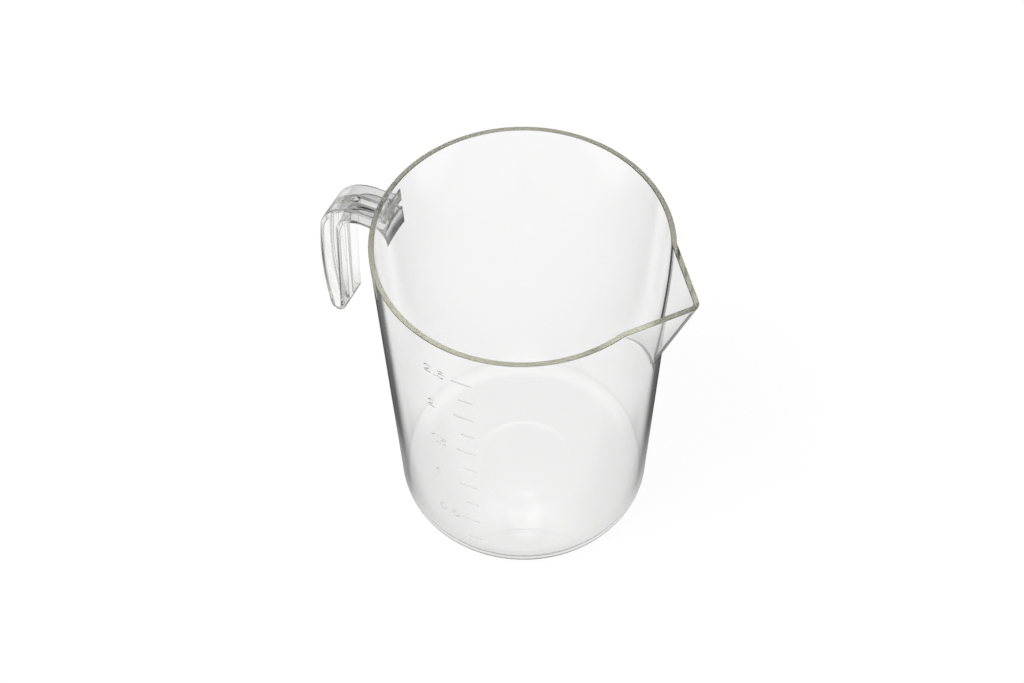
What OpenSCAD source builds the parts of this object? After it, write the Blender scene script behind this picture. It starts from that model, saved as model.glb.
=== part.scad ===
// Clear measuring jug: a tapered round vessel with a flat-sided pouring spout,
// an open hook handle of I-section opposite the spout, and a raised litre scale.
// Millimetres, +Z up, origin on the table under the vessel's axis, spout towards +X.

/* [Vessel] */
// Height of the rim above the table
body_h = 196; // [150:1:240]
// Outside diameter of the rim
rim_d = 152; // [145:1:185]
// Outside diameter of the wall, where its straight line meets the table
foot_d = 135.4; // [110:0.2:140]
// Thickness of the wall, the rim and the spout's sides
wall_t = 2.8; // [2:0.1:4]
// Thickness of the floor
floor_t = 2.6; // [2:0.1:5]
// Radius of the outside corner at the foot
foot_r = 8; // [5:0.5:14]
// Radius of the inside corner at the floor
floor_r = 6.5; // [4:0.5:14]
// Diameter of the moulded ring round the gate, in the underside
gate_ring_d = 58; // [30:1:80]
// Width of that ring
gate_ring_w = 0.8; // [0.5:0.1:2]
// Depth of that ring
gate_ring_depth = 0.4; // [0.2:0.1:1]

/* [Spout] */
// Reach of the spout's sharp corner beyond the rim circle
spout_reach = 19.6; // [14:0.2:26]
// Angle on the rim from the spout's middle to where each flat side begins
spout_half_angle = 25; // [20:0.5:30]
// Depth below the rim where the crease runs out on the wall
spout_drop = 63; // [45:1:80]
// Outside radius of the crease between the flat sides
crease_r = 5.5; // [4:0.5:8]

/* [Handle] */
// Width of the handle across the hand
handle_w = 19; // [14:0.5:26]
// Thickness of the flange that runs round the hook
flange_t = 2.5; // [1.5:0.1:3.5]
// Thickness of the web between the two side recesses
web_t = 4; // [2:0.2:6]
// Depth of the rim above the arm's top face
arm_drop = 12.6; // [8:0.2:30]
// Height of the arm's section
arm_t = 10.1; // [8:0.1:14]
// Thickness of the grip where it leaves the bend
grip_t = 11.8; // [10:0.1:16]
// Clear width from the rim circle to the inside of the bend
finger_gap = 24; // [18:0.5:34]
// Radius of the inside of the bend
bend_in_r = 13.2; // [8:0.2:16]
// Radius of the outside of the bend
bend_out_r = 26; // [20:0.5:32]
// Radius of the bowed outer face of the grip
grip_bow_r = 250; // [180:5:400]
// Angle above level at which the bend runs over into the bow
bow_angle = 6.5; // [4:0.5:8]
// Lean of the grip's inner face away from the vessel
grip_lean = 2; // [0:0.5:4]
// Drop from the arm's top face to the middle of the rounded free end
hook_drop = 87; // [60:1:110]
// Radius of the fillet above the root
root_top_r = 5.6; // [3:0.2:8]
// Radius of the fillet below the root
root_under_r = 9.3; // [5:0.2:14]

/* [Scale] */
// Litres between two long marks
scale_step = 0.5; // [0.25:0.25:1]
// Room left between the highest mark and the rim
scale_room = 15; // [8:1:40]
// Angle from the spout round to the marks' aligned ends
scale_angle = 83.8; // [60:0.2:120]
// Length of a long mark round the wall
long_mark_l = 10.5; // [6:0.5:20]
// Length of a short mark round the wall
short_mark_l = 7.3; // [4:0.1:16]
// Width of a mark's stroke
mark_w = 0.9; // [0.5:0.1:2]
// Height of a mark above the wall
mark_relief = 0.35; // [0.2:0.05:0.8]

/* [Hidden] */
$fn = 96;
clear_plastic = [0.86, 0.9, 0.89, 0.55];
clear_relief = [0.7, 0.74, 0.72, 0.8];
over = 1;
mm3_per_l = 1e6;

// Taper of the wall: what its radius gains for each millimetre of height
draft = (rim_d - foot_d) / (2 * body_h);
draft_angle = atan(draft);
level_wall = wall_t / cos(draft_angle);
function wall_r(z) = foot_d / 2 + draft * z;
function ray(angle) = [cos(angle), sin(angle)];

// The inside as a frustum standing on the floor, less its rounded corner
bore_r = wall_r(floor_t) - level_wall;
corner_area = (1 - PI / 4) * pow(floor_r, 2);
corner_arm = bore_r - floor_r * (1 - 2 / (3 * (4 - PI)));
corner_volume = 2 * PI * corner_arm * corner_area;
function level_at(litres) =
    let (cube = pow(bore_r, 3) + 3 * draft * (litres * mm3_per_l + corner_volume) / PI)
    floor_t + (pow(cube, 1 / 3) - bore_r) / draft;
function litres_at(z) =
    (PI * (pow(bore_r + draft * (z - floor_t), 3) - pow(bore_r, 3)) / (3 * draft) - corner_volume) / mm3_per_l;
top_mark = floor(litres_at(body_h - scale_room) / (scale_step / 2));

// The spout's two flat sides: both hold the crease, so both are swept along it
spout_tip_x = rim_d / 2 + spout_reach;
crease_end_z = body_h - spout_drop;
crease_run = spout_tip_x - wall_r(crease_end_z);
crease_tilt = atan(crease_run / spout_drop);
side_x = rim_d / 2 * cos(spout_half_angle);
side_y = rim_d / 2 * sin(spout_half_angle);
plan_half_angle = atan(side_y / (spout_tip_x - side_x));
vee_half_angle = atan(tan(plan_half_angle) / cos(crease_tilt));
vee_depth = spout_tip_x - side_x + 3 * wall_t;
vee_l = spout_drop / cos(crease_tilt) + 8 * wall_t;
inner_crease_r = max(crease_r - wall_t, 0.6);
crease_steps = 10;

// The hook's outline lies in the plane of radius and height
arm_top = body_h - arm_drop;
arm_under = arm_top - arm_t;
bend_in = [rim_d / 2 + finger_gap - bend_in_r, arm_under - bend_in_r];
bend_out = [rim_d / 2 + finger_gap + grip_t - bend_out_r, arm_top - bend_out_r];
bow = bend_out - (grip_bow_r - bend_out_r) * ray(bow_angle);
lean_start = bend_in + bend_in_r * ray(grip_lean);
function inner_face_u(z) = lean_start[0] + (lean_start[1] - z) * tan(grip_lean);

// The free end is a circle that touches the grip's inner face and its bow
end_z = arm_top - hook_drop;
end_a = inner_face_u(end_z) - bow[0];
end_b = end_a / cos(grip_lean) + grip_bow_r;
end_c = pow(end_a, 2) + pow(end_z - bow[1], 2) - pow(grip_bow_r, 2);
end_k = pow(tan(grip_lean), 2);
end_r = -end_c / (end_b + sqrt(pow(end_b, 2) - end_k * end_c));
end_at = [inner_face_u(end_z) + end_r / cos(grip_lean), end_z];
end_bow_angle = atan2(end_at[1] - bow[1], end_at[0] - bow[0]);
far = 2 * (finger_gap + bend_out_r + hook_drop);

// Half profile of a tapered vessel: wall line drawn in by inset, round lower corner
module vessel_profile(inset, z0, z1, corner_r) {
    mid = [wall_r(z0 + corner_r) - (inset + corner_r) / cos(draft_angle), z0 + corner_r];
    translate(mid) circle(corner_r);
    polygon([
        [0, z0],
        [mid[0], z0],
        mid,
        mid + corner_r * ray(-draft_angle),
        [wall_r(z1) - inset / cos(draft_angle), z1],
        [0, z1]
    ]);
}

// Section of the spout across its crease, drawn in by inset
module vee_section(inset, corner_r) {
    mid = [-(inset + corner_r) / sin(vee_half_angle), 0];
    turn = 90 - vee_half_angle;
    back_x = -vee_depth - inset;
    back_y = (-back_x - inset / sin(vee_half_angle)) * tan(vee_half_angle);
    crease = [for (i = [0 : crease_steps]) mid + corner_r * ray(turn * (2 * i / crease_steps - 1))];
    polygon(concat(crease, [[back_x, back_y], [back_x, -back_y]]));
}

// The spout's wedge, from above the rim down past the point where the crease runs out
module spout_wedge(inset, corner_r) {
    translate([spout_tip_x, 0, body_h]) rotate([0, crease_tilt, 0])
        translate([0, 0, -vee_l]) linear_extrude(vee_l + vee_depth)
            vee_section(inset, corner_r);
}

// Turned about the vessel's axis, with the surface's seam away from spout and handle
module turned() rotate([0, 0, 90]) rotate_extrude() children();

module jug_body() color(clear_plastic) difference() {
    union() {
        turned() vessel_profile(0, 0, body_h + over, foot_r);
        spout_wedge(0, crease_r);
    }
    turned() vessel_profile(wall_t, floor_t, body_h + 2 * over, floor_r);
    spout_wedge(wall_t, inner_crease_r);
    translate([-rim_d, -rim_d, body_h]) cube([3 * rim_d, 2 * rim_d, rim_d]);
    turned() translate([(gate_ring_d - gate_ring_w) / 2, -over])
        square([gate_ring_w, over + gate_ring_depth]);
}

// Everything inside the hook's outer edge, drawn in by inset
module hook_outside(inset) {
    translate([0, end_z]) square([bend_out[0], arm_top - inset - end_z]);
    translate(bend_out) circle(bend_out_r - inset);
    intersection() {
        translate(bow) circle(grip_bow_r - inset, $fn = 8 * $fn);
        polygon([
            [0, bend_out[1]],
            bend_out,
            bend_out + far * ray(bow_angle),
            end_at + far * ray(end_bow_angle),
            end_at,
            end_at - end_at[0] * [1, tan(grip_lean)]
        ]);
    }
}

// The space that the hook goes round, grown by inset
module hook_inside(inset) {
    foot = [inner_face_u(end_z - far) + inset / cos(grip_lean), end_z - far];
    translate(bend_in) circle(bend_in_r + inset);
    translate([0, end_z - far]) square([bend_in[0], bend_in[1] + bend_in_r + inset - end_z + far]);
    polygon([
        bend_in,
        bend_in + (bend_in_r + inset) * ray(grip_lean),
        foot,
        [0, end_z - far],
        [0, bend_in[1]]
    ]);
}

// Outline of the hook, drawn in by inset, as far as the vessel's axis
module hook_outline(inset) {
    difference() {
        hook_outside(inset);
        hook_inside(inset);
    }
    translate(end_at) circle(end_r - inset);
}

// Fillet between the wall at radius u and a level face at height z, above it or below it
module root_fillet(u, z, r, above) {
    difference() {
        translate([0, above ? z - over : z - r]) square([u + r, r + over]);
        translate([u + r, above ? z + r : z - r]) circle(r);
    }
}

// Stands a drawing in radius and height across the handle, centred on the -X side
module across_handle(width) {
    rotate([0, 0, 180]) rotate([90, 0, 0]) translate([0, 0, -width / 2]) linear_extrude(width) children();
}

module handle() color(clear_plastic) difference() {
    across_handle(handle_w) {
        hook_outline(0);
        root_fillet(wall_r(arm_top), arm_top, root_top_r, true);
        root_fillet(wall_r(arm_under - root_under_r), arm_under, root_under_r, false);
    }
    for (side = [-1, 1])
        translate([0, side * (handle_w + web_t) / 2, 0]) across_handle(handle_w) hook_outline(flange_t);
    turned() polygon([[0, 0], [wall_r(0), 0], [wall_r(body_h), body_h], [0, body_h]]);
}

// One raised mark: a band on the wall at height z, running clockwise from the aligned ends
module mark(z, length) {
    low = z - mark_w / 2;
    high = z + mark_w / 2;
    sweep = length / wall_r(z) * 180 / PI;
    rotate([0, 0, -scale_angle - sweep]) rotate_extrude(angle = sweep) polygon([
        [wall_r(low), low],
        [wall_r(low) + mark_relief, low],
        [wall_r(high) + mark_relief, high],
        [wall_r(high), high]
    ]);
}

module long_scale_marks() color(clear_relief)
    for (i = [2 : 2 : top_mark]) mark(level_at(i * scale_step / 2), long_mark_l);

module short_scale_marks() color(clear_relief)
    for (i = [1 : 2 : top_mark]) mark(level_at(i * scale_step / 2), short_mark_l);

jug_body();
handle();
long_scale_marks();
short_scale_marks();
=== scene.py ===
import math

import bpy
import numpy as np
from mathutils import Matrix, Vector


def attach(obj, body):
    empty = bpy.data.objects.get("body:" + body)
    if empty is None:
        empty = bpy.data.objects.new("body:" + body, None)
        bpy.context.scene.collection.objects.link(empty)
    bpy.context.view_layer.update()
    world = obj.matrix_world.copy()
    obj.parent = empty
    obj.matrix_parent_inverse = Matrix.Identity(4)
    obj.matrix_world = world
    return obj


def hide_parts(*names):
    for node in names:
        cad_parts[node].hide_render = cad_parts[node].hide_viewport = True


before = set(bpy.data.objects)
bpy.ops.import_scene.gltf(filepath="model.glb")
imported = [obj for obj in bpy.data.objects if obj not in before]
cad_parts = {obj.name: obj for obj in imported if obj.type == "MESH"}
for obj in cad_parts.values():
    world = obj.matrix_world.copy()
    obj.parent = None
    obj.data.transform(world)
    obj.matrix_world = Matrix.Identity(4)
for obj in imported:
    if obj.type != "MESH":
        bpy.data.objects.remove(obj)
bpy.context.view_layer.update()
mm = 0.001
print("frame loaded:", sorted(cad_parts))


# Mesh helpers

def makePiece(name, verts, faces, sharpAngle=50):
    mesh = bpy.data.meshes.new(name)
    mesh.from_pydata([tuple(float(c) * mm for c in v) for v in verts], [], faces)
    mesh.validate()
    mesh.shade_smooth()
    mesh.set_sharp_from_angle(angle=math.radians(sharpAngle))
    mesh.update()
    piece = bpy.data.objects.new(name, mesh)
    bpy.context.scene.collection.objects.link(piece)
    return piece


def arcPoints(centre, radius, start, stop, steps):
    turn = np.radians(np.linspace(start, stop, steps + 1))
    return np.stack([centre[0] + radius * np.cos(turn), centre[1] + radius * np.sin(turn)], 1)


# Vessel: wall, floor, rim and the flat-sided spout as one moulded shell, in millimetres

vessel = {
    "height": 196.0,
    "rimRadius": 76.0,
    "footRadius": 67.7,
    "wall": 2.8,
    "floor": 2.6,
    "footCorner": 8.0,
    "floorCorner": 6.5,
    "rimEdge": 0.5,              # rounding of the rim's two edges
    "lipFade": (0.7, 0.2),       # below the rim, where its rougher finish begins and is full
    "gateRing": 29.0,            # moulded ring in the underside
    "gateRingHalf": 1.2,
    "gateRingDepth": 0.05,
}
spout = {
    "tip": 95.6,                 # where the two flat sides would meet, at the rim
    "halfAngle": 25.0,
    "drop": 63.0,
    "crease": 5.5,
    "blend": 0.5,                # softening of the line where spout and wall meet
    "lineTop": 0.2,              # half width of the painted shade line there, at the rim and at the spout's foot
    "lineFoot": 0.75,
    "lineFade": (0.5, 1.0),      # where across that half width it begins to pale and is gone
    "lineStart": 0.75,           # how strong it is at the rim
    "creaseLine": (4.2, 5.0),    # painted shade on the crease: full within the first, gone beyond the second
    "creaseEdge": (0.36, 0.55),  # how far edge-on the skin has to be
    "creaseWash": (2.0, 12.0),   # paler painted shade on both sides of the crease
    "washShare": 0.3,
    "creaseStart": (0.3, 1.2),   # how far out from the wall the crease begins
    "valley": (0.2, 0.6, 1.8, 2.4),  # painted shade on the line between spout and wall again, on the inner skin
    "valleyEdge": (0.28, 0.46),
    "valleyStart": 0.2,
    "innerShare": 0.75,          # deeper than this share of the wall counts as the inner skin
    "rimFade": (0.01, 0.04),     # share of the drop over which all painted shade lines begin below the rim
}
shellMesh = {
    "searchFrom": 40.0,          # radii between which the skin is searched for
    "searchTo": 120.0,
    "halvings": 44,
    "fineStep": 0.25,            # degrees at the crease, on the spout's sides and round the wall
    "sideStep": 0.5,
    "wallStep": 2.0,
    "stepGrowth": 1.18,
    "fineTo": 3,
    "sideTo": 30,
    "plainTop": 118.0,           # below this height the wall is a plain cone
    "plainRows": 10,
    "spoutRows": 56,
    "edgeRows": 6,
    "footSteps": 16,
    "floorSteps": 14,
    "gateRows": 9,
    "underRings": (6, 14, 22),   # rings that keep the flat faces even
    "outerRings": (34, 42, 50),
    "floorRings": (44, 30, 18, 8),
    "beside": 1.0,               # last ring beside a corner, and beside the rim's edges
    "rimBeside": 0.1,
}

draft = (vessel["rimRadius"] - vessel["footRadius"]) / vessel["height"]
draftAngle = math.atan(draft)
cosDraft = math.cos(draftAngle)


def wallRadius(z):
    return vessel["footRadius"] + draft * z


creaseRun = spout["tip"] - wallRadius(vessel["height"] - spout["drop"])
tilt = math.atan2(creaseRun, spout["drop"])
sideX = vessel["rimRadius"] * math.cos(math.radians(spout["halfAngle"]))
sideY = vessel["rimRadius"] * math.sin(math.radians(spout["halfAngle"]))
planHalf = math.atan2(sideY, spout["tip"] - sideX)
veeHalf = math.atan(math.tan(planHalf) / math.cos(tilt))
spoutLimit = math.pi / 2 - planHalf
farAway = 1e3  # keeps the wedge off the side opposite the spout


def outsideDistance(x, y, z):
    # distance to the outer skin: the cone and the rounded wedge, softly joined
    cone = (np.hypot(x, y) - wallRadius(z)) * cosDraft
    across = (x - spout["tip"]) * math.cos(tilt) - (z - vessel["height"]) * math.sin(tilt)
    beside = np.abs(y)
    flat = across * math.sin(veeHalf) + beside * math.cos(veeHalf)
    ahead = across + spout["crease"] / math.sin(veeHalf)
    onCrease = beside < ahead * math.tan(math.pi / 2 - veeHalf)
    wedge = np.where(onCrease, np.hypot(ahead, beside) - spout["crease"], flat)
    wedge = np.where(np.abs(np.arctan2(y, x)) < spoutLimit, wedge, farAway)
    near = np.maximum(spout["blend"] - np.abs(cone - wedge), 0)
    return np.minimum(cone, wedge) - near * near / (4 * spout["blend"])


def skinRadius(angles, z, inset):
    low = np.full(angles.shape, shellMesh["searchFrom"])
    high = np.full(angles.shape, shellMesh["searchTo"])
    for _ in range(shellMesh["halvings"]):
        mid = (low + high) / 2
        outside = outsideDistance(mid * np.cos(angles), mid * np.sin(angles), z) > -inset
        high = np.where(outside, mid, high)
        low = np.where(outside, low, mid)
    return (low + high) / 2


def shellAngles():
    # fine steps at the crease, middling ones on the spout's sides, coarse ones round the wall
    half, step = [0.0], shellMesh["fineStep"]
    while half[-1] < 180:
        if half[-1] > shellMesh["sideTo"]:
            step = min(step * shellMesh["stepGrowth"], shellMesh["wallStep"])
        elif half[-1] > shellMesh["fineTo"]:
            step = min(step * shellMesh["stepGrowth"], shellMesh["sideStep"])
        half.append(half[-1] + step)
    half = np.array(half)
    half = half[:-1] * 180 / half[-1]
    return np.radians(np.concatenate([half, [180.0], -half[:0:-1]]))


def shellRows(angles):
    # rings from the middle of the underside up the outer skin, over the rim and down to the floor
    height, wall, edge = vessel["height"], vessel["wall"], vessel["rimEdge"]
    beside, rimBeside = shellMesh["beside"], shellMesh["rimBeside"]
    leanDegrees = math.degrees(draftAngle)
    rows = []

    def ring(radius, z):
        rows.append((np.full(angles.shape, radius), z))

    def skin(z, inset):
        rows.append((skinRadius(angles, z, inset), z))

    footMid = (wallRadius(vessel["footCorner"]) - vessel["footCorner"] / cosDraft, vessel["footCorner"])
    innerZ = vessel["floor"] + vessel["floorCorner"]
    innerMid = (wallRadius(innerZ) - (wall + vessel["floorCorner"]) / cosDraft, innerZ)
    for radius in shellMesh["underRings"]:
        ring(radius, 0)
    for share in np.linspace(-1, 1, shellMesh["gateRows"]):
        depth = vessel["gateRingDepth"] * (0.5 + 0.5 * math.cos(math.pi * share))
        ring(vessel["gateRing"] + share * vessel["gateRingHalf"], depth)
    for radius in (*shellMesh["outerRings"], footMid[0] - beside):
        ring(radius, 0)
    for r, z in arcPoints(footMid, vessel["footCorner"], -90, -leanDegrees, shellMesh["footSteps"]):
        ring(r, z)
    for z in np.linspace(footMid[1] + beside, shellMesh["plainTop"], shellMesh["plainRows"]):
        ring(wallRadius(z), z)

    fine = np.linspace(shellMesh["plainTop"], height - edge - rimBeside, shellMesh["spoutRows"])[1:]
    for z in fine:
        skin(z, 0)
    for turn in np.radians(np.linspace(0, 90, shellMesh["edgeRows"])):
        skin(height - edge + edge * math.sin(turn), edge * (1 - math.cos(turn)))
    skin(height, edge + rimBeside)
    skin(height, wall - edge - rimBeside)
    for turn in np.radians(np.linspace(90, 0, shellMesh["edgeRows"])):
        skin(height - edge + edge * math.sin(turn), wall - edge * (1 - math.cos(turn)))
    for z in fine[::-1]:
        skin(z, wall)

    for z in np.linspace(shellMesh["plainTop"], innerMid[1] + beside, shellMesh["plainRows"]):
        ring(wallRadius(z) - wall / cosDraft, z)
    for r, z in arcPoints(innerMid, vessel["floorCorner"], -leanDegrees, -90, shellMesh["floorSteps"]):
        ring(r, z)
    for radius in (innerMid[0] - beside, *shellMesh["floorRings"]):
        ring(radius, vessel["floor"])
    return rows


def makeShell():
    angles = shellAngles()
    rows = shellRows(angles)
    count = len(angles)
    verts = [(0, 0, 0)]
    for radius, z in rows:
        verts += zip(radius * np.cos(angles), radius * np.sin(angles), np.full(count, z))
    verts.append((0, 0, vessel["floor"]))
    last = len(verts) - 1
    top = 1 + (len(rows) - 1) * count
    faces = []
    for j in range(count):
        k = (j + 1) % count
        faces.append((0, 1 + k, 1 + j))
        for i in range(len(rows) - 1):
            a, b = 1 + i * count, 1 + (i + 1) * count
            faces.append((a + j, a + k, b + k, b + j))
        faces.append((top + j, top + k, last))
    return makePiece("jug_shell", verts, faces)


# Handle: open hook of I-section, its root run a little way into the wall, in millimetres

hook = {
    "width": 19.0,
    "flange": 2.5,
    "web": 4.0,
    "armTop": 183.4,
    "armUnder": 173.3,
    "bendIn": (86.8, 160.1),     # middles of the two bends, as radius and height
    "bendInRadius": 13.2,
    "bendOut": (85.8, 157.4),
    "bendOutRadius": 26.0,
    "bowRadius": 250.0,          # the grip's outer side bows a little
    "bowAngle": 6.5,
    "lean": 2.0,
    "end": (106.439, 96.4),      # rounded free end
    "endRadius": 4.203,
    "rootTop": 5.6,
    "rootUnder": 9.3,
    "edge": 0.7,                 # rounding of the outer edges
    "lip": 0.5,                  # rounding at the mouth of the recesses
    "recessFillet": 1.0,
    "rootSink": 1.2,
    "rootShade": 0.4,            # how strong the painted shade is on the upper root and the arm, beside the lower root
    "armShade": 0.24,
    "rootFade": (0.4, 1.6),      # out from the wall, where the root's painted shade begins to pale and is gone
    "lowRoot": (-3, 1),          # heights from the arm's underside, where lower root and arm fade over
    "armFade": (-14, 2),
}
hookMesh = {
    "rootSteps": 12,
    "armSteps": 4,
    "bendOutSteps": 26,
    "bowSteps": 22,
    "endSteps": 22,
    "gripSteps": 14,
    "bendInSteps": 24,
    "underSteps": 14,
    "filletSteps": 6,
    "edgeSteps": 5,
    "beside": 0.1,               # last line beside each rounding
}


def hookRing(inset, filleted):
    # open line from the upper root round the free end to the lower root, as radius and height
    top, under, sink = hook["armTop"], hook["armUnder"], hook["rootSink"]
    rootTop, rootUnder = hook["rootTop"], hook["rootUnder"]
    bowTurn, bowArm = math.radians(hook["bowAngle"]), hook["bowRadius"] - hook["bendOutRadius"]
    bendX, bendZ = hook["bendOut"]
    bowMid = (bendX - bowArm * math.cos(bowTurn), bendZ - bowArm * math.sin(bowTurn))
    bowEnd = math.degrees(math.atan2(hook["end"][1] - bowMid[1], hook["end"][0] - bowMid[0]))
    topWall, underWall = wallRadius(top), wallRadius(under - rootUnder)
    capTop = top + rootTop if filleted else top - inset
    capUnder = under - rootUnder if filleted else under + inset
    topSteps, underSteps, armSteps = hookMesh["rootSteps"], hookMesh["underSteps"], hookMesh["armSteps"]

    path = [[(wallRadius(capTop) - sink, capTop)]]
    if filleted:
        path.append(arcPoints((topWall + rootTop, top + rootTop), rootTop + inset, 180, 270, topSteps))
    else:
        path.append(np.linspace((topWall, capTop), (topWall + rootTop, capTop), topSteps + 1))
    path.append(np.linspace((topWall + rootTop, top - inset), (bendX, top - inset), armSteps)[1:-1])
    outerBend = hook["bendOutRadius"] - inset
    path.append(arcPoints(hook["bendOut"], outerBend, 90, hook["bowAngle"], hookMesh["bendOutSteps"]))
    bow = arcPoints(bowMid, hook["bowRadius"] - inset, hook["bowAngle"], bowEnd, hookMesh["bowSteps"])
    path.append(bow[1:])
    endTurn = -180 + hook["lean"]
    path.append(arcPoints(hook["end"], hook["endRadius"] - inset, bowEnd, endTurn, hookMesh["endSteps"])[1:])
    innerBend = hook["bendInRadius"] + inset
    inner = arcPoints(hook["bendIn"], innerBend, hook["lean"], 90, hookMesh["bendInSteps"])
    path.append(np.linspace(path[-1][-1], inner[0], hookMesh["gripSteps"])[1:-1])
    path.append(inner)
    path.append(np.linspace(inner[-1], (underWall + rootUnder, under + inset), armSteps)[1:-1])
    if filleted:
        rootMid = (underWall + rootUnder, under - rootUnder)
        path.append(arcPoints(rootMid, rootUnder + inset, 90, 180, underSteps))
    else:
        path.append(np.linspace((underWall + rootUnder, capUnder), (underWall, capUnder), underSteps + 1))
    path.append([(wallRadius(capUnder) - sink, capUnder)])
    return np.concatenate([np.array(part, float) for part in path])


def hookProfile():
    # half section from the recess floor out to the middle of the outer face: inset, side, filleted root
    half, flange, web = hook["width"] / 2, hook["flange"], hook["web"] / 2
    fillet, lip, edge, beside = hook["recessFillet"], hook["lip"], hook["edge"], hookMesh["beside"]
    filletSteps, edgeSteps = hookMesh["filletSteps"], hookMesh["edgeSteps"]
    side = [(flange + fillet + beside, web, False)]
    for d, v in arcPoints((flange + fillet, web + fillet), fillet, 270, 180, filletSteps):
        side.append((d, v, False))
    side.append((flange, web + fillet + beside, False))
    side.append((flange, half - lip - beside, False))
    for d, v in arcPoints((flange - lip, half - lip), lip, 0, 90, edgeSteps):
        side.append((d, v, False))
    side.append((flange - lip - beside, half, False))
    side.append((edge + beside, half, True))
    for d, v in arcPoints((edge, half - edge), edge, 90, 180, edgeSteps):
        side.append((d, v, True))
    side.append((0.0, half - edge - beside, True))
    return side + [(d, -v, root) for d, v, root in reversed(side)]


def makeHandle():
    profile = hookProfile()
    rings = [hookRing(inset, filleted) for inset, side, filleted in profile]
    count = len(rings[0])
    verts, faces = [], []
    for (inset, side, filleted), ring in zip(profile, rings):
        verts += [(-radius, side, z) for radius, z in ring]
    for i in range(len(rings) - 1):
        for j in range(count - 1):
            a, b = i * count + j, (i + 1) * count + j
            faces.append((a, a + 1, b + 1, b))
    final = (len(rings) - 1) * count
    faces.append(tuple(reversed(range(count))))
    faces.append(tuple(final + j for j in range(count)))
    upper = [i * count for i in range(len(rings))]
    lower = [i * count + count - 1 for i in range(len(rings))]
    faces.append(tuple(upper + lower[::-1]))
    return makePiece("hook_handle", verts, faces)


# Litre scale: rounded strokes moulded on the wall, in millimetres

scale = {
    "litre": 1e6,                # cubic millimetres
    "longLitres": (0.5, 1, 1.5, 2, 2.5),
    "shortLitres": (0.25, 0.75, 1.25, 1.75, 2.25),
    "numbers": ("0.5", "1", "1.5", "2", "2.5"),
    "rightEdge": -83.8,          # where the marks end, degrees round the wall
    "numberEdge": -104.4,        # where the numbers begin
    "longMark": 10.5,
    "shortMark": 7.3,
    "stroke": 0.9,
    "relief": 0.35,
    "numberRelief": 0.2,
    "sink": 0.2,
    "digitHeight": 6.2,
    "digitWidth": 4.7,
    "digitGap": 1.5,
    "narrowGap": 0.5,            # share of the gap after a point or a one
    "markPoints": 12,
    "crownPoints": 9,
    "capTurns": (80, 60, 40, 20),  # degrees round a stroke's rounded end
}


def fillHeight(litres):
    # level of that much liquid in the vessel
    bore = wallRadius(vessel["floor"]) - vessel["wall"] / cosDraft
    corner = vessel["floorCorner"]
    cornerArm = bore - corner * (1 - 2 / (3 * (4 - math.pi)))
    cornerVolume = 2 * math.pi * cornerArm * (1 - math.pi / 4) * corner ** 2
    cube = bore ** 3 + 3 * draft * (litres * scale["litre"] + cornerVolume) / math.pi
    return vessel["floor"] + (cube ** (1 / 3) - bore) / draft


def onWall(along, up, out, azimuth):
    # along runs to the right as seen from outside
    turn = math.radians(azimuth) + along / wallRadius(up)
    radius = wallRadius(up) + out
    return (radius * math.cos(turn), radius * math.sin(turn), up)


def strokeMesh(path, closed, azimuth, relief, verts, faces):
    path = np.array(path, float)
    half, sink = scale["stroke"] / 2, scale["sink"]
    if closed:
        ahead = np.roll(path, -1, 0) - np.roll(path, 1, 0)
        size = np.ones(len(path))
    else:
        ahead = np.gradient(path, axis=0)
        first, last = (step / np.linalg.norm(step) for step in (ahead[0], ahead[-1]))
        turns = np.radians(scale["capTurns"])
        nose = np.array([path[0] - first * half * math.sin(t) for t in turns])
        tail = np.array([path[-1] + last * half * math.sin(t) for t in turns[::-1]])
        size = np.concatenate([np.cos(turns), np.ones(len(path)), np.cos(turns[::-1])])
        path = np.concatenate([nose, path, tail])
        ahead = np.concatenate([[first] * len(turns), ahead, [last] * len(turns)])
    ahead = ahead / np.linalg.norm(ahead, axis=1)[:, None]
    beside = np.stack([ahead[:, 1], -ahead[:, 0]], 1)
    crown = np.radians(np.linspace(180, 0, scale["crownPoints"]))
    section = [(half * math.cos(t), relief * math.sin(t)) for t in crown]
    section = [(-half, -sink)] + section + [(half, -sink)]
    start, width, count = len(verts), len(section), len(path)
    for point, normal, share in zip(path, beside, size):
        for across, out in section:
            at = point + normal * across * share
            verts.append(onWall(at[0], at[1], out * share if out > 0 else out, azimuth))
    for i in range(count if closed else count - 1):
        a, b = start + i * width, start + (i + 1) % count * width
        for j in range(width):
            k = (j + 1) % width
            faces.append((a + j, b + j, b + k, a + k))
    if not closed:
        faces.append(tuple(start + j for j in range(width)))
        faces.append(tuple(start + (count - 1) * width + j for j in reversed(range(width))))


def line(start, stop, points):
    return np.linspace(start, stop, points)


def curve(points, steps):
    a, b, c, d = (np.array(p, float) for p in points)
    t = np.linspace(0, 1, steps + 1)[:, None]
    return (1 - t) ** 3 * a + 3 * (1 - t) ** 2 * t * b + 3 * (1 - t) * t * t * c + t ** 3 * d


def joined(*parts):
    # each part begins where the one before it ends
    return np.concatenate([parts[0]] + [part[1:] for part in parts[1:]])


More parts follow.
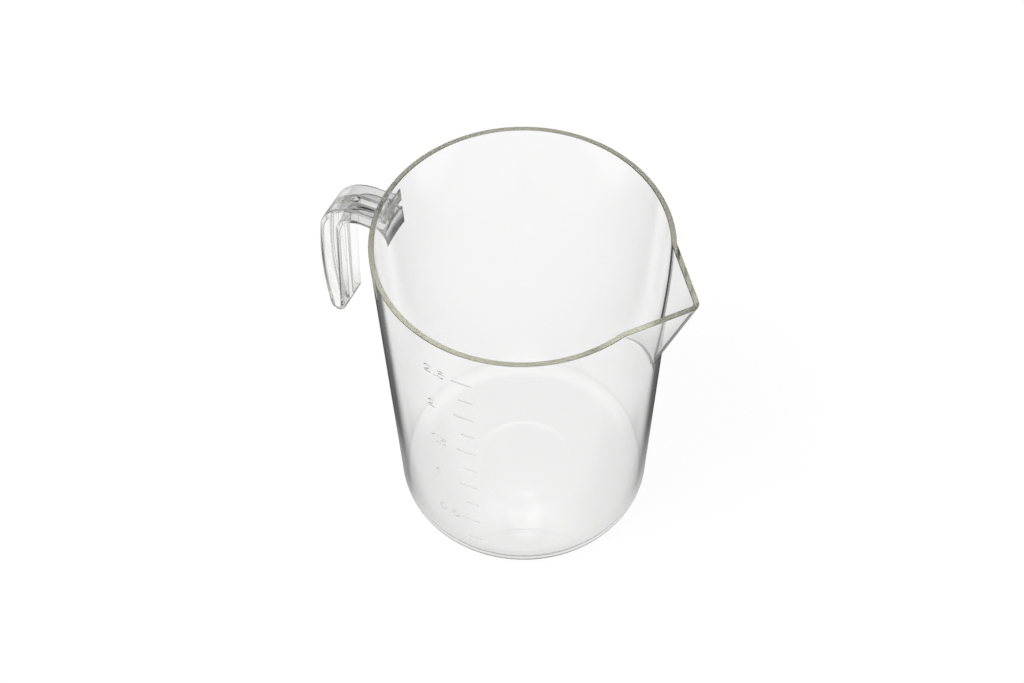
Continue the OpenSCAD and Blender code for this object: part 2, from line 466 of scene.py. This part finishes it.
def digitPath(digit):
    # drawn in a box of 1 by 1: the line's points, closed or not, and the width it takes up
    if digit == "0":
        return arcPoints((0.5, 0.5), 0.5, 0, 360, 32)[:-1], True, 1.0
    if digit == "1":
        return joined(
            line((0, 0.76), (0.36, 0.97), 4),
            curve([(0.36, 0.97), (0.42, 1), (0.44, 1), (0.44, 0.93)], 5),
            line((0.44, 0.93), (0.44, 0), 8),
        ), False, 0.44
    if digit == "2":
        return joined(
            curve([(0.02, 0.72), (0.08, 1.1), (0.94, 1.1), (0.94, 0.7)], 14),
            curve([(0.94, 0.7), (0.94, 0.45), (0.2, 0.25), (0.05, 0.06)], 10),
            curve([(0.05, 0.06), (0.02, 0), (0.02, 0), (0.1, 0)], 4),
            line((0.1, 0), (0.98, 0), 6),
        ), False, 1.0
    if digit == "5":
        return joined(
            line((0.9, 1), (0.2, 1), 5),
            curve([(0.2, 1), (0.13, 1), (0.13, 1), (0.12, 0.93)], 4),
            line((0.12, 0.93), (0.07, 0.58), 4),
            curve([(0.07, 0.58), (0.06, 0.5), (0.07, 0.5), (0.13, 0.55)], 5),
            curve([(0.13, 0.55), (0.4, 0.76), (0.98, 0.68), (0.98, 0.32)], 12),
            curve([(0.98, 0.32), (0.98, -0.06), (0.3, -0.14), (0.02, 0.14)], 12),
        ), False, 1.0
    return line((0, 0), (0.08, 0), 3), False, 0.08  # the point


def makeMarks(name, litres, length):
    verts, faces = [], []
    inner = scale["stroke"] / 2
    for amount in litres:
        z = fillHeight(amount)
        shares = np.linspace(0, 1, scale["markPoints"])
        path = [(-length + inner + (length - 2 * inner) * t, z) for t in shares]
        strokeMesh(path, False, scale["rightEdge"], scale["relief"], verts, faces)
    return makePiece(name, verts, faces)


def makeNumbers():
    verts, faces = [], []
    inner = scale["stroke"] / 2
    span = np.array([scale["digitWidth"] - 2 * inner, scale["digitHeight"] - 2 * inner])
    for text in scale["numbers"]:
        z = fillHeight(float(text)) - scale["digitHeight"] / 2 + inner
        along = inner
        for digit in text:
            path, closed, width = digitPath(digit)
            place = path * span + np.array([along, z])
            strokeMesh(place, closed, scale["numberEdge"], scale["numberRelief"], verts, faces)
            gap = scale["digitGap"] * (scale["narrowGap"] if digit in ".1" else 1)
            along += width * span[0] + 2 * inner + gap
    return makePiece("litre_numbers", verts, faces)


shell = makeShell()
print("shell:", len(shell.data.vertices), "points")
handle = makeHandle()
print("handle:", len(handle.data.vertices), "points")
longMarks = makeMarks("long_marks", scale["longLitres"], scale["longMark"])
shortMarks = makeMarks("short_marks", scale["shortLitres"], scale["shortMark"])
numbers = makeNumbers()
print("scale:", len(numbers.data.vertices), "points in the numbers")

pieceList = (
    (shell, "clear_body", "jug_body"),
    (handle, "clear_handle", "handle"),
    (longMarks, "scale_relief", "long_scale_marks"),
    (shortMarks, "scale_relief", "short_scale_marks"),
    (numbers, "scale_relief", None),
)
for piece, slot, node in pieceList:
    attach(piece, "root")
    if node:
        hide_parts(node)


# Node helpers

noFace = 0.5  # counts of faces are whole numbers, so less than this is none


def addNode(tree, kind, place, **values):
    node = tree.nodes.new(kind)
    node.location = place
    for key, value in values.items():
        setattr(node, key, value)
    return node


def newMaterial(name):
    mat = bpy.data.materials.new(name)
    mat.use_nodes = True
    mat.node_tree.nodes.clear()
    return mat, mat.node_tree


def metres(sizes):
    return tuple(size * mm for size in sizes)


class MaskNodes:
    # writes a mask as nodes, laid out in rows in the order in which they are made
    columns, spacing = 12, 180

    def __init__(self, tree, corner):
        self.tree, self.corner, self.made = tree, corner, 0

    def add(self, kind, **values):
        row, column = divmod(self.made, self.columns)
        self.made += 1
        place = (self.corner[0] + self.spacing * column, self.corner[1] - self.spacing * row)
        return addNode(self.tree, kind, place, **values)

    def feed(self, sockets, values):
        for socket, value in zip(sockets, values):
            if isinstance(value, (int, float)):
                socket.default_value = value
            else:
                self.tree.links.new(value, socket)

    def calc(self, operation, first, second=0.0):
        node = self.add("ShaderNodeMath", operation=operation)
        self.feed(node.inputs, (first, second))
        return node.outputs["Value"]

    def plus(self, first, second):
        return self.calc("ADD", first, second)

    def minus(self, first, second):
        return self.calc("SUBTRACT", first, second)

    def times(self, first, second):
        return self.calc("MULTIPLY", first, second)

    def larger(self, first, second):
        return self.calc("MAXIMUM", first, second)

    def over(self, value, limit):
        return self.calc("GREATER_THAN", value, limit)

    def under(self, value, limit):
        return self.calc("LESS_THAN", value, limit)

    def size(self, value):
        return self.calc("ABSOLUTE", value)

    def inverse(self, mask):
        return self.minus(1.0, mask)

    def fade(self, value, limits):
        # 0 before the first limit, 1 beyond the second
        node = self.add("ShaderNodeMapRange", interpolation_type="SMOOTHSTEP")
        self.feed((node.inputs["Value"], node.inputs["From Min"], node.inputs["From Max"]), (value, *limits))
        return node.outputs["Result"]

    def band(self, value, limits):
        # 1 between the middle two limits, fading to 0 at the outer two
        return self.minus(self.fade(value, limits[:2]), self.fade(value, limits[2:]))

    def mix(self, share, first, second):
        node = self.add("ShaderNodeMix", data_type="FLOAT")
        self.feed((node.inputs["Factor"], node.inputs["A"], node.inputs["B"]), (share, first, second))
        return node.outputs["Result"]

    def axes(self, coords):
        node = self.add("ShaderNodeSeparateXYZ")
        self.tree.links.new(coords, node.inputs["Vector"])
        return node.outputs

    def fromAxis(self, x, y):
        return self.calc("SQRT", self.plus(self.times(x, x), self.times(y, y)))

    def seenStraight(self):
        # 1 for light that no face has mirrored, so that the painted shade doesn't run along inside the
        # plastic
        path = self.add("ShaderNodeLightPath")
        return self.under(path.outputs["Glossy Depth"], noFace)


# Clear plastic

moulded = {
    "flowScale": 22,
    "flowDetail": 2,
    "hairScale": (900, 900, 40),
    "hairTurn": (0.5, 0.3, 0),
    "hairDetail": 1,
    "hairPick": (0.66, 0.74),    # only the strongest part of the noise shows as hairlines
    "thinTint": (0.986, 0.987, 0.985, 1),
    "fullTint": (0.996, 0.997, 0.995, 1),
}


def makeMouldedFinish():
    # slow flow ripple, fine hairlines and a faint change of tint
    group = bpy.data.node_groups.new("mouldedFinish", "ShaderNodeTree")
    for name, value in (("Roughness", 0.02), ("Hairlines", 0.05), ("Flow", 1.0)):
        socket = group.interface.new_socket(name, in_out="INPUT", socket_type="NodeSocketFloat")
        socket.default_value = value
    for name, kind in (("Roughness", "Float"), ("Height", "Float"), ("Tint", "Color")):
        group.interface.new_socket(name, in_out="OUTPUT", socket_type="NodeSocket" + kind)
    link = group.links.new
    given = addNode(group, "NodeGroupInput", (-900, 0))
    out = addNode(group, "NodeGroupOutput", (600, 0))
    coords = addNode(group, "ShaderNodeTexCoord", (-1100, -200))
    flow = addNode(group, "ShaderNodeTexNoise", (-700, 300))
    flow.inputs["Scale"].default_value = moulded["flowScale"]
    flow.inputs["Detail"].default_value = moulded["flowDetail"]
    link(coords.outputs["Object"], flow.inputs["Vector"])
    stretch = addNode(group, "ShaderNodeMapping", (-900, -300))
    stretch.inputs["Scale"].default_value = moulded["hairScale"]
    stretch.inputs["Rotation"].default_value = moulded["hairTurn"]
    link(coords.outputs["Object"], stretch.inputs["Vector"])
    hairs = addNode(group, "ShaderNodeTexNoise", (-700, -300))
    hairs.inputs["Scale"].default_value = 1
    hairs.inputs["Detail"].default_value = moulded["hairDetail"]
    link(stretch.outputs["Vector"], hairs.inputs["Vector"])
    pick = addNode(group, "ShaderNodeMapRange", (-500, -300))
    pick.inputs["From Min"].default_value, pick.inputs["From Max"].default_value = moulded["hairPick"]
    link(hairs.outputs["Fac"], pick.inputs["Value"])
    mask = MaskNodes(group, (-300, -100))
    scuff = mask.times(pick.outputs["Result"], given.outputs["Hairlines"])
    link(mask.plus(given.outputs["Roughness"], scuff), out.inputs["Roughness"])
    link(mask.times(flow.outputs["Fac"], given.outputs["Flow"]), out.inputs["Height"])
    tint = addNode(group, "ShaderNodeMix", (100, 100), data_type="RGBA")
    tint.inputs["A"].default_value = moulded["thinTint"]
    tint.inputs["B"].default_value = moulded["fullTint"]
    link(flow.outputs["Fac"], tint.inputs["Factor"])
    link(tint.outputs["Result"], out.inputs["Tint"])
    return group


mouldedFinish = makeMouldedFinish()


def spoutPaintedShade(tree, coords):
    # painted shade, 0 to 1: how near a point is to the lines where the spout's sides meet each other and the
    # wall
    mask = MaskNodes(tree, (-2100, -600))
    x, y, z = mask.axes(coords)
    wallAt = mask.plus(mask.times(z, draft), vessel["footRadius"] * mm)
    cone = mask.times(mask.minus(mask.fromAxis(x, y), wallAt), cosDraft)
    out = mask.minus(x, spout["tip"] * mm)
    down = mask.minus(z, vessel["height"] * mm)
    across = mask.minus(mask.times(out, math.cos(tilt)), mask.times(down, math.sin(tilt)))
    beside = mask.size(y)
    flat = mask.plus(mask.times(across, math.sin(veeHalf)), mask.times(beside, math.cos(veeHalf)))
    depth = mask.times(down, -1 / (spout["drop"] * mm))
    apart = mask.minus(cone, flat)
    facing = mask.add("ShaderNodeLayerWeight").outputs["Facing"]
    innerDepth = -spout["innerShare"] * vessel["wall"] * mm
    inner = mask.under(mask.calc("MINIMUM", cone, flat), innerDepth)
    outer = mask.inverse(inner)

    width = mask.mix(depth, spout["lineTop"] * mm, spout["lineFoot"] * mm)
    near = mask.calc("DIVIDE", mask.size(apart), width)
    join = mask.inverse(mask.fade(near, spout["lineFade"]))
    join = mask.times(join, mask.mix(depth, spout["lineStart"], 1.0))
    join = mask.times(join, outer)

    crease = mask.inverse(mask.fade(beside, metres(spout["creaseLine"])))
    crease = mask.times(crease, mask.fade(facing, spout["creaseEdge"]))
    wash = mask.inverse(mask.fade(beside, metres(spout["creaseWash"])))
    crease = mask.larger(crease, mask.times(wash, spout["washShare"]))
    crease = mask.times(crease, mask.fade(apart, metres(spout["creaseStart"])))
    crease = mask.times(crease, outer)

    valley = mask.times(inner, mask.fade(facing, spout["valleyEdge"]))
    valley = mask.times(valley, mask.band(apart, metres(spout["valley"])))
    valley = mask.times(valley, mask.mix(depth, spout["valleyStart"], 1.0))

    front = mask.minus(mask.times(x, math.tan(spoutLimit)), beside)
    lines = mask.larger(mask.larger(join, crease), valley)
    lines = mask.times(lines, mask.over(front, 0))
    lines = mask.times(lines, mask.fade(depth, spout["rimFade"]))
    return mask.times(lines, mask.seenStraight())


def handlePaintedShade(tree, coords):
    # painted shade: the arm a little greyer, the root where it meets the wall most
    mask = MaskNodes(tree, (-2100, -600))
    x, y, z = mask.axes(coords)
    under = hook["armUnder"]
    rootLimits = metres(wallRadius(under) + out for out in hook["rootFade"])
    root = mask.inverse(mask.fade(mask.fromAxis(x, y), rootLimits))
    low = mask.fade(z, metres(under + up for up in hook["lowRoot"]))
    root = mask.times(root, mask.mix(low, 1.0, hook["rootShade"]))
    root = mask.times(root, mask.seenStraight())
    arm = mask.fade(z, metres(under + up for up in hook["armFade"]))
    return mask.larger(root, mask.times(arm, hook["armShade"]))


def makeClearPlastic(name, look, shading=None):
    mat, tree = newMaterial(name)
    link = tree.links.new
    out = addNode(tree, "ShaderNodeOutputMaterial", (1100, 0))
    plastic = addNode(tree, "ShaderNodeBsdfPrincipled", (800, 0))
    plastic.inputs["Transmission Weight"].default_value = 1.0
    plastic.inputs["IOR"].default_value = look["ior"]
    coords = addNode(tree, "ShaderNodeTexCoord", (-2300, 0))
    finish = addNode(tree, "ShaderNodeGroup", (-300, 0), node_tree=mouldedFinish)
    finish.inputs["Roughness"].default_value = look["roughness"]
    finish.inputs["Hairlines"].default_value = look["hairlines"]
    finish.inputs["Flow"].default_value = look["flow"]
    bump = addNode(tree, "ShaderNodeBump", (500, -200))
    bump.inputs["Strength"].default_value = look["bump"]
    bump.inputs["Distance"].default_value = look["ripple"]
    link(finish.outputs["Height"], bump.inputs["Height"])
    link(bump.outputs["Normal"], plastic.inputs["Normal"])
    colour, rough = finish.outputs["Tint"], finish.outputs["Roughness"]
    # painted shade: where the mask says, the tint is mixed toward a dark colour
    if shading:
        shade = addNode(tree, "ShaderNodeMix", (650, 200), data_type="RGBA")
        link(colour, shade.inputs["A"])
        shade.inputs["B"].default_value = look["paintedShadeColour"]
        link(shading(tree, coords.outputs["Object"]), shade.inputs["Factor"])
        colour = shade.outputs["Result"]
    if "lipRough" in look:
        mask = MaskNodes(tree, (-700, 300))
        z = mask.axes(coords.outputs["Object"])[2]
        lip = mask.fade(z, metres(vessel["height"] - below for below in vessel["lipFade"]))
        rough = mask.plus(rough, mask.times(lip, look["lipRough"]))
    link(colour, plastic.inputs["Base Color"])
    link(rough, plastic.inputs["Roughness"])
    link(plastic.outputs["BSDF"], out.inputs["Surface"])
    depth = addNode(tree, "ShaderNodeVolumeAbsorption", (800, -400))
    depth.inputs["Color"].default_value = look["depthColour"]
    depth.inputs["Density"].default_value = look["depth"]
    link(depth.outputs["Volume"], out.inputs["Volume"])
    return mat


clearLook = {
    "ior": 1.58,
    "roughness": 0.0,
    "hairlines": 0.0,
    "flow": 1.0,
    "bump": 0.0,
    "ripple": 0.0004,
    "depthColour": (0.6, 0.6, 0.28, 1),  # a faint olive where the light runs far in the plastic
    "depth": 1.25,
}
# the body's painted shade colour is near black
bodyLook = {**clearLook, "lipRough": 0.25, "paintedShadeColour": (0.008, 0.008, 0.008, 1)}
# the handle's painted shade colour is dark grey
handleLook = {**clearLook, "paintedShadeColour": (0.12, 0.12, 0.12, 1)}
reliefLook = {**clearLook, "roughness": 0.05, "hairlines": 0.1, "bump": 0.1}

shell.data.materials.append(makeClearPlastic("clearBody", bodyLook, spoutPaintedShade))
handle.data.materials.append(makeClearPlastic("clearHandle", handleLook, handlePaintedShade))
reliefMaterial = makeClearPlastic("scaleRelief", reliefLook)
for piece in (longMarks, shortMarks, numbers):
    piece.data.materials.append(reliefMaterial)
print("materials set")


# Studio: pale floor, soft light, camera, in metres

studio = {
    "viewTurn": 25.9,            # the camera's side, degrees round from the front
    "bounces": 96,
    "floorSize": 4.0,
    "floorGap": 0.0003,
    "floorColour": (0.9, 0.9, 0.9, 1),
    "shadowShare": 0.04,         # how much of the floor's look is lit, so that it keeps the shadow
    "skyTilt": 37.0,             # the sky is brightest above and behind the camera
    "skyFade": (0.12, 0.78),
    "skyWhite": 1.0,
    "glowHeight": 58.05,         # a soft window opposite the camera, mirrored in the vessel's floor
    "glowWidth": 0.8,
    "glowLight": 1.6,
    "haloHeight": 59.9,          # the paler light around it
    "haloWidth": 3.4,
    "haloLight": 0.8,
}
mirror = {                       # the floor as the clear walls mirror it, its glow with painted shadow and painted light
    "outside": 0.68,             # brightness in the outer faces
    "outsideMore": 1.0,          # the same beside the vessel, far in front of it and far out
    "besideFade": (-0.020, 0.004),
    "aheadFade": (0.066, 0.10),
    "wideFade": (0.105, 0.135),
    "inside": 0.36,              # brightness in the inner faces, then far out and far behind
    "wideLight": 0.68,
    "insideMore": 0.95,
    "backTurn": 0.9,
    "backFade": (0.03, 0.08),
    "footFade": (0.060, 0.070),  # painted shade: the outer faces mirror the inside's grey under the vessel
    "footRing": (0.050, 0.060, 0.067, 0.074),  # painted light: pale ring under the rounded foot
    "footLight": 0.92,
    "footFaces": 2.5,            # for light that has passed no more faces than this
    "footLift": 0.0006,          # and has run further than this, and than the corner's height
    "footFlat": 0.0585,          # that height is taken as a parabola from where the flat ends
    "footSlant": 55,
    "deepFaces": 4.5,            # light that has passed more faces than this finds an even grey
    "deepLight": 0.85,
    "flankGrey": 0.03,           # painted shadow behind each flank draws its edge
    "flankShift": 0.003,
    "flankEdge": (0.070, -0.008),
    "flankTurn": 48.0,
    "flankFade": (-0.026, 0.0005),
    "flankShare": 0.52,          # how much of that painted shadow the inner faces show
    "lowFlank": 0.7,             # and how much of it there is close to the foot
    "lowReach": (0.070, 0.095),
    "farSide": (0.16, 0.24),
    "oftenMirrored": 1.5,        # on the handle's side, light mirrored more often counts as outside
    "handleSide": -0.06,
}
keyLight = {
    "place": (-0.5, -0.6, 1.6),
    "target": (0, 0, 0.1),
    "size": (0.8, 0.8),
    "watts": 40,
}
camera = {                       # solved from the rim, the base and the scale
    "place": (0.00062, -0.67887, 1.03140),
    "yaw": -0.0095,
    "pitch": math.radians(53.52),
    "roll": -0.0142,
    "sensor": 36,
    "focalPixels": 2186.4,
    "pictureWidth": 1024,
}


def floorMirror(tree, coords, path):
    # painted light and shade: how bright the floor glows, by the place and by the faces that the light has
    # met on its way
    mask = MaskNodes(tree, (-1700, -300))
    x, y = mask.axes(coords)[:2]
    length = mask.add("ShaderNodeVectorMath", operation="LENGTH")
    tree.links.new(coords, length.inputs["Vector"])
    reach = length.outputs["Value"]
    side = mask.size(x)
    passed, mirrored, run = (path.outputs[n] for n in ("Transmission Depth", "Glossy Depth", "Ray Length"))

    turn = math.radians(mirror["flankTurn"])
    outward = mask.minus(mask.size(mask.plus(x, mirror["flankShift"])), mirror["flankEdge"][0])
    back = mask.minus(y, mirror["flankEdge"][1])
    behind = mask.minus(mask.times(back, math.cos(turn)), mask.times(outward, math.sin(turn)))
    flankPart = mask.mix(mask.fade(reach, mirror["lowReach"]), mirror["lowFlank"], 1.0)
    flank = mask.times(mask.fade(behind, mirror["flankFade"]), flankPart)
    paintedDark = mask.larger(flank, mask.fade(side, mirror["farSide"]))

    wide = mask.fade(side, mirror["wideFade"])
    ahead = mask.fade(mask.times(y, -1), mirror["aheadFade"])
    more = mask.larger(mask.fade(y, mirror["besideFade"]), ahead)
    more = mask.larger(more, wide)
    rear = mask.fade(mask.minus(mask.times(y, mirror["backTurn"]), side), mirror["backFade"])
    outside = mask.mix(more, mirror["outside"], mirror["outsideMore"])
    outside = mask.mix(paintedDark, outside, mirror["flankGrey"])
    outside = mask.mix(mask.fade(reach, mirror["footFade"]), mirror["inside"], outside)
    outside = mask.mix(rear, outside, mirror["insideMore"])

    foot = mask.times(mask.band(reach, mirror["footRing"]), mask.under(passed, mirror["footFaces"]))
    foot = mask.times(foot, mask.over(run, mirror["footLift"]))
    edge = mask.minus(reach, mirror["footFlat"])
    edge = mask.times(edge, mask.times(edge, mirror["footSlant"]))
    foot = mask.times(foot, mask.over(run, edge))
    inside = mask.mix(wide, mirror["inside"], mirror["wideLight"])
    inside = mask.mix(mask.times(paintedDark, mirror["flankShare"]), inside, mirror["flankGrey"])
    inside = mask.mix(rear, inside, mirror["insideMore"])
    inside = mask.mix(foot, inside, mirror["footLight"])
    inside = mask.mix(mask.over(passed, mirror["deepFaces"]), inside, mirror["deepLight"])

    often = mask.over(mirrored, mirror["oftenMirrored"])
    often = mask.times(often, mask.under(x, mirror["handleSide"]))
    onOutside = mask.larger(mask.under(passed, noFace), often)
    grey = mask.mix(onOutside, inside, outside)
    return mask.mix(mask.under(mirrored, noFace), grey, 1.0)


def makeFloor():
    # white to the eye and straight through the clear walls, grey with painted shade in their mirror
    half = studio["floorSize"] / 2
    corners = [(-half, -half, 0), (half, -half, 0), (half, half, 0), (-half, half, 0)]
    mesh = bpy.data.meshes.new("floor")
    mesh.from_pydata(corners, [], [(0, 1, 2, 3)])
    floor = bpy.data.objects.new("floor", mesh)
    floor.location.z = -studio["floorGap"]
    floor.rotation_euler.z = math.radians(studio["viewTurn"])
    bpy.context.scene.collection.objects.link(floor)
    mat, tree = newMaterial("floorWhite")
    link = tree.links.new
    out = addNode(tree, "ShaderNodeOutputMaterial", (1300, 0))
    lit = addNode(tree, "ShaderNodeBsdfDiffuse", (900, 150))
    lit.inputs["Color"].default_value = studio["floorColour"]
    glow = addNode(tree, "ShaderNodeEmission", (900, -50))
    path = addNode(tree, "ShaderNodeLightPath", (-1900, 400))
    coords = addNode(tree, "ShaderNodeTexCoord", (-1900, -200))
    link(floorMirror(tree, coords.outputs["Object"], path), glow.inputs["Color"])
    mask = MaskNodes(tree, (-500, 400))
    seen = mask.larger(path.outputs["Is Camera Ray"], path.outputs["Is Glossy Ray"])
    seen = mask.larger(seen, path.outputs["Is Transmission Ray"])
    mix = addNode(tree, "ShaderNodeMixShader", (1100, 0))
    link(mask.times(seen, 1 - studio["shadowShare"]), mix.inputs["Fac"])
    link(lit.outputs["BSDF"], mix.inputs[1])
    link(glow.outputs["Emission"], mix.inputs[2])
    link(mix.outputs["Shader"], out.inputs["Surface"])
    mesh.materials.append(mat)


def makeWorld():
    world = bpy.data.worlds.new("studioWorld")
    bpy.context.scene.world = world
    world.use_nodes = True
    tree = world.node_tree
    tree.nodes.clear()
    link = tree.links.new
    out = addNode(tree, "ShaderNodeOutputWorld", (1900, 0))
    back = addNode(tree, "ShaderNodeBackground", (1700, 0))
    path = addNode(tree, "ShaderNodeLightPath", (-700, 300))
    coords = addNode(tree, "ShaderNodeTexCoord", (-700, 0))
    mask = MaskNodes(tree, (-500, 100))

    def towards(away, up):
        # 1 in the given direction, which is turned from the camera's side into the object's frame
        node = mask.add("ShaderNodeVectorMath", operation="DOT_PRODUCT")
        link(coords.outputs["Generated"], node.inputs[0])
        viewSide = Matrix.Rotation(math.radians(studio["viewTurn"]), 3, "Z")
        node.inputs[1].default_value = viewSide @ Vector((0, away, up)).normalized()
        return node.outputs["Value"]

    def window(height, width):
        rise = math.radians(height)
        return mask.fade(towards(math.cos(rise), math.sin(rise)), (math.cos(math.radians(width)), 1.0))

    lean = math.radians(studio["skyTilt"])
    sky = mask.fade(towards(-math.sin(lean), math.cos(lean)), studio["skyFade"])
    sky = mask.times(sky, studio["skyWhite"])
    glow = mask.times(window(studio["glowHeight"], studio["glowWidth"]), studio["glowLight"])
    halo = mask.times(window(studio["haloHeight"], studio["haloWidth"]), studio["haloLight"])
    light = mask.plus(sky, mask.plus(glow, halo))
    link(mask.mix(path.outputs["Is Camera Ray"], light, 1.0), back.inputs["Color"])
    link(back.outputs["Background"], out.inputs["Surface"])


def makeKeyLamp():
    place, target = Vector(keyLight["place"]), Vector(keyLight["target"])
    light = bpy.data.lights.new("keyLamp", "AREA")
    light.shape = "RECTANGLE"
    light.size, light.size_y = keyLight["size"]
    light.energy = keyLight["watts"]
    lamp = bpy.data.objects.new("keyLamp", light)
    lamp.location = place
    lamp.rotation_euler = (target - place).to_track_quat("-Z", "Y").to_euler()
    lamp.visible_glossy = False
    lamp.visible_transmission = False
    bpy.context.scene.collection.objects.link(lamp)


def makeCamera():
    yaw, pitch, roll = camera["yaw"], camera["pitch"], camera["roll"]
    level = Vector((math.sin(yaw), math.cos(yaw), 0))
    upright = Vector((0, 0, 1))
    ahead = math.cos(pitch) * level - math.sin(pitch) * upright
    flatRight = Vector((math.cos(yaw), -math.sin(yaw), 0))
    flatUp = math.sin(pitch) * level + math.cos(pitch) * upright
    right = math.cos(roll) * flatRight + math.sin(roll) * flatUp
    up = math.cos(roll) * flatUp - math.sin(roll) * flatRight
    turn = Matrix.Rotation(math.radians(studio["viewTurn"]), 4, "Z")
    axes = Matrix((right, up, -ahead)).transposed().to_4x4()
    lens = bpy.data.cameras.new("camera")
    lens.sensor_width = camera["sensor"]
    lens.lens = camera["sensor"] * camera["focalPixels"] / camera["pictureWidth"]
    holder = bpy.data.objects.new("camera", lens)
    holder.matrix_world = turn @ Matrix.Translation(camera["place"]) @ axes
    bpy.context.scene.collection.objects.link(holder)
    bpy.context.scene.camera = holder


makeFloor()
makeWorld()
makeKeyLamp()
makeCamera()
scene = bpy.context.scene
scene.view_settings.view_transform = "Standard"
scene.cycles.max_bounces = studio["bounces"]
scene.cycles.transmission_bounces = studio["bounces"]
scene.cycles.glossy_bounces = studio["bounces"]
print("studio set")
